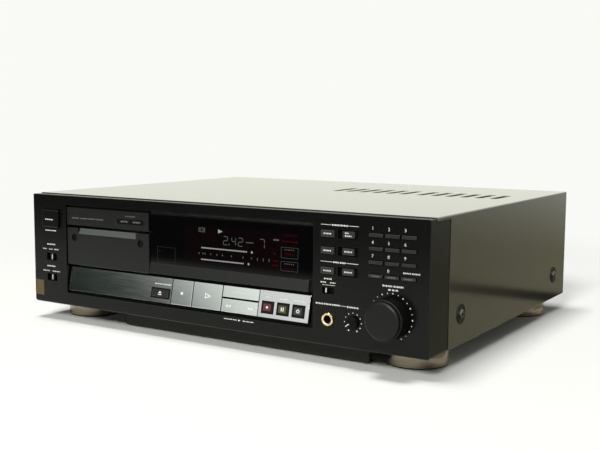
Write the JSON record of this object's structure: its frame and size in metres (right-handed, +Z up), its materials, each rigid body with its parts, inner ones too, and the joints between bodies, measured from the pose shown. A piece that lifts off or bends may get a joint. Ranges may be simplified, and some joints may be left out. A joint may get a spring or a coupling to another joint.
{
  "type": "digital audio tape deck",
  "caption": "Full-width hi-fi tape deck: black fascia with a cassette drawer, smoked display, leaning control strip, keypad, knobs, slotted steel cover and turned feet.",
  "frame": {"origin": "on the floor, under the middle of the whole object's box", "axes": "+X to the deck's right as seen by its user from the front, +Y to the back, +Z up; the fascia faces -Y"},
  "size_m": [0.43, 0.3628, 0.1247],
  "materials": {
    "black_plastic": "moulded, satin",
    "panel_plastic": "satin grey-black",
    "key_plastic": "satin",
    "strip_metal": "finely brushed, dark clear coat",
    "cover_paint": "fine textured enamel",
    "zinc": "zinc plated",
    "champagne": "turned and anodised",
    "smoked": "polished smoked acrylic",
    "tube_glass": "clear",
    "gold": "gold plated, polished",
    "acetal": "moulded",
    "board": "glass-fibre laminate",
    "core": "varnished laminations",
    "drum_metal": "diamond turned"
  },
  "bodies": {
    "housing": {"fascia": "black_plastic", "top_cover": "cover_paint", "chassis_pan": "zinc", "rear_panel": "cover_paint", "display_window": "smoked", "display_tube": "tube_glass", "counter_panel": "panel_plastic", "control_panel": "strip_metal", "under_brace": "cover_paint", "headphone_socket": "gold", "foot_front_left": "champagne", "foot_front_right": "champagne", "foot_rear_left": "champagne", "foot_rear_right": "champagne", "jack_block": "black_plastic", "mains_inlet": "black_plastic", "power_transformer": "core", "main_board": "board", "key_board": "board", "mechanism_frame": "zinc"},
    "drawer": {"drawer_front": "panel_plastic", "drawer_tray": "panel_plastic"},
    "pinion": {"drawer_pinion": "acetal"},
    "drum": {"head_drum": "drum_metal"},
    "power": {"power_button": "black_plastic"},
    "timer": {"timer_switch": "black_plastic"},
    "input": {"input_switch": "black_plastic"},
    "skip_play": {"skip_play_switch": "black_plastic"},
    "phones_level": {"phones_level_knob": "black_plastic"},
    "record_level": {"record_level_knob": "black_plastic"},
    "record_balance": {"record_balance_ring": "black_plastic"},
    "counter_reset_key": {"counter_reset_key": "key_plastic"},
    "counter_memory_key": {"counter_memory_key": "key_plastic"},
    "stop_key": {"stop_key": "strip_metal"},
    "play_key": {"play_key": "strip_metal"},
    "search_key_upper": {"search_key_upper": "strip_metal"},
    "search_key_lower": {"search_key_lower": "strip_metal"},
    "eject_button": {"eject_button": "strip_metal"},
    "record_button": {"record_button": "strip_metal"},
    "pause_button": {"pause_button": "strip_metal"},
    "mute_button": {"mute_button": "strip_metal"},
    "start_auto_key": {"start_auto_key": "key_plastic"},
    "start_write_key": {"start_write_key": "key_plastic"},
    "skip_write_key": {"skip_write_key": "key_plastic"},
    "start_renumber_key": {"start_renumber_key": "key_plastic"},
    "start_erase_key": {"start_erase_key": "key_plastic"},
    "skip_erase_key": {"skip_erase_key": "key_plastic"},
    "number_key_01": {"number_key_01": "key_plastic"},
    "number_key_02": {"number_key_02": "key_plastic"},
    "number_key_03": {"number_key_03": "key_plastic"},
    "number_key_04": {"number_key_04": "key_plastic"},
    "number_key_05": {"number_key_05": "key_plastic"},
    "number_key_06": {"number_key_06": "key_plastic"},
    "number_key_07": {"number_key_07": "key_plastic"},
    "number_key_08": {"number_key_08": "key_plastic"},
    "number_key_09": {"number_key_09": "key_plastic"},
    "number_key_10": {"number_key_10": "key_plastic"},
    "number_key_11": {"number_key_11": "key_plastic"},
    "number_key_12": {"number_key_12": "key_plastic"}
  },
  "joints": [
    {"name": "drawer_slide", "type": "slide", "parent": "housing", "child": "drawer", "axis": [0, -1, 0], "range_m": [0, 0.085]},
    {"name": "pinion_spin", "type": "hinge", "parent": "housing", "child": "pinion", "pos_m": [-0.0854, -0.14035, 0.0618], "axis": [0, 0, 1], "range_deg": [-5, 615]},
    {"name": "drum_spin", "type": "hinge", "parent": "housing", "child": "drum", "pos_m": [-0.1174, 0.00195, 0.06783], "axis": [0, -0.1115, 0.9938], "continuous": true},
    {"name": "power_press", "type": "slide", "parent": "housing", "child": "power", "axis": [0, 1, 0], "range_m": [0, 0.0025], "stiffness_N_per_m": 500},
    {"name": "counter_reset_key_press", "type": "slide", "parent": "housing", "child": "counter_reset_key", "axis": [0, 1, 0], "range_m": [0, 0.0012], "stiffness_N_per_m": 400},
    {"name": "counter_memory_key_press", "type": "slide", "parent": "housing", "child": "counter_memory_key", "axis": [0, 1, 0], "range_m": [0, 0.0012], "stiffness_N_per_m": 400},
    {"name": "stop_key_press", "type": "slide", "parent": "housing", "child": "stop_key", "axis": [0, 0.9776, -0.2104], "range_m": [0, 0.0012], "stiffness_N_per_m": 400},
    {"name": "play_key_press", "type": "slide", "parent": "housing", "child": "play_key", "axis": [0, 0.9776, -0.2104], "range_m": [0, 0.0012], "stiffness_N_per_m": 400},
    {"name": "search_key_upper_press", "type": "slide", "parent": "housing", "child": "search_key_upper", "axis": [0, 0.9776, -0.2104], "range_m": [0, 0.0012], "stiffness_N_per_m": 400},
    {"name": "search_key_lower_press", "type": "slide", "parent": "housing", "child": "search_key_lower", "axis": [0, 0.9776, -0.2104], "range_m": [0, 0.0012], "stiffness_N_per_m": 400},
    {"name": "eject_button_press", "type": "slide", "parent": "housing", "child": "eject_button", "axis": [0, 0.9776, -0.2104], "range_m": [0, 0.0012], "stiffness_N_per_m": 400},
    {"name": "record_button_press", "type": "slide", "parent": "housing", "child": "record_button", "axis": [0, 0.9776, -0.2104], "range_m": [0, 0.0012], "stiffness_N_per_m": 400},
    {"name": "pause_button_press", "type": "slide", "parent": "housing", "child": "pause_button", "axis": [0, 0.9776, -0.2104], "range_m": [0, 0.0012], "stiffness_N_per_m": 400},
    {"name": "mute_button_press", "type": "slide", "parent": "housing", "child": "mute_button", "axis": [0, 0.9776, -0.2104], "range_m": [0, 0.0012], "stiffness_N_per_m": 400},
    {"name": "start_auto_key_press", "type": "slide", "parent": "housing", "child": "start_auto_key", "axis": [0, 1, 0], "range_m": [0, 0.0012], "stiffness_N_per_m": 400},
    {"name": "start_write_key_press", "type": "slide", "parent": "housing", "child": "start_write_key", "axis": [0, 1, 0], "range_m": [0, 0.0012], "stiffness_N_per_m": 400},
    {"name": "skip_write_key_press", "type": "slide", "parent": "housing", "child": "skip_write_key", "axis": [0, 1, 0], "range_m": [0, 0.0012], "stiffness_N_per_m": 400},
    {"name": "start_renumber_key_press", "type": "slide", "parent": "housing", "child": "start_renumber_key", "axis": [0, 1, 0], "range_m": [0, 0.0012], "stiffness_N_per_m": 400},
    {"name": "start_erase_key_press", "type": "slide", "parent": "housing", "child": "start_erase_key", "axis": [0, 1, 0], "range_m": [0, 0.0012], "stiffness_N_per_m": 400},
    {"name": "skip_erase_key_press", "type": "slide", "parent": "housing", "child": "skip_erase_key", "axis": [0, 1, 0], "range_m": [0, 0.0012], "stiffness_N_per_m": 400},
    {"name": "number_key_01_press", "type": "slide", "parent": "housing", "child": "number_key_01", "axis": [0, 1, 0], "range_m": [0, 0.0012], "stiffness_N_per_m": 400},
    {"name": "number_key_02_press", "type": "slide", "parent": "housing", "child": "number_key_02", "axis": [0, 1, 0], "range_m": [0, 0.0012], "stiffness_N_per_m": 400},
    {"name": "number_key_03_press", "type": "slide", "parent": "housing", "child": "number_key_03", "axis": [0, 1, 0], "range_m": [0, 0.0012], "stiffness_N_per_m": 400},
    {"name": "number_key_04_press", "type": "slide", "parent": "housing", "child": "number_key_04", "axis": [0, 1, 0], "range_m": [0, 0.0012], "stiffness_N_per_m": 400},
    {"name": "number_key_05_press", "type": "slide", "parent": "housing", "child": "number_key_05", "axis": [0, 1, 0], "range_m": [0, 0.0012], "stiffness_N_per_m": 400},
    {"name": "number_key_06_press", "type": "slide", "parent": "housing", "child": "number_key_06", "axis": [0, 1, 0], "range_m": [0, 0.0012], "stiffness_N_per_m": 400},
    {"name": "number_key_07_press", "type": "slide", "parent": "housing", "child": "number_key_07", "axis": [0, 1, 0], "range_m": [0, 0.0012], "stiffness_N_per_m": 400},
    {"name": "number_key_08_press", "type": "slide", "parent": "housing", "child": "number_key_08", "axis": [0, 1, 0], "range_m": [0, 0.0012], "stiffness_N_per_m": 400},
    {"name": "number_key_09_press", "type": "slide", "parent": "housing", "child": "number_key_09", "axis": [0, 1, 0], "range_m": [0, 0.0012], "stiffness_N_per_m": 400},
    {"name": "number_key_10_press", "type": "slide", "parent": "housing", "child": "number_key_10", "axis": [0, 1, 0], "range_m": [0, 0.0012], "stiffness_N_per_m": 400},
    {"name": "number_key_11_press", "type": "slide", "parent": "housing", "child": "number_key_11", "axis": [0, 1, 0], "range_m": [0, 0.0012], "stiffness_N_per_m": 400},
    {"name": "number_key_12_press", "type": "slide", "parent": "housing", "child": "number_key_12", "axis": [0, 1, 0], "range_m": [0, 0.0012], "stiffness_N_per_m": 400},
    {"name": "timer_select", "type": "slide", "parent": "housing", "child": "timer", "axis": [1, 0, 0], "range_m": [-0.003, 0.003]},
    {"name": "input_select", "type": "slide", "parent": "housing", "child": "input", "axis": [1, 0, 0], "range_m": [-0.003, 0.003]},
    {"name": "skip_play_select", "type": "slide", "parent": "housing", "child": "skip_play", "axis": [1, 0, 0], "range_m": [0, 0.0046]},
    {"name": "phones_level_turn", "type": "hinge", "parent": "housing", "child": "phones_level", "pos_m": [0.149, -0.16485, 0.038], "axis": [0, 1, 0], "range_deg": [-30, 270]},
    {"name": "record_level_turn", "type": "hinge", "parent": "housing", "child": "record_level", "pos_m": [0.1823, -0.16485, 0.0456], "axis": [0, 1, 0], "range_deg": [-150, 150]},
    {"name": "record_balance_turn", "type": "hinge", "parent": "housing", "child": "record_balance", "pos_m": [0.1823, -0.16485, 0.0456], "axis": [0, 1, 0], "range_deg": [-150, 150]}
  ],
  "couplings": [
    {"joint": "pinion_spin", "follows": "drawer_slide", "rad_per_m": 125}
  ]
}
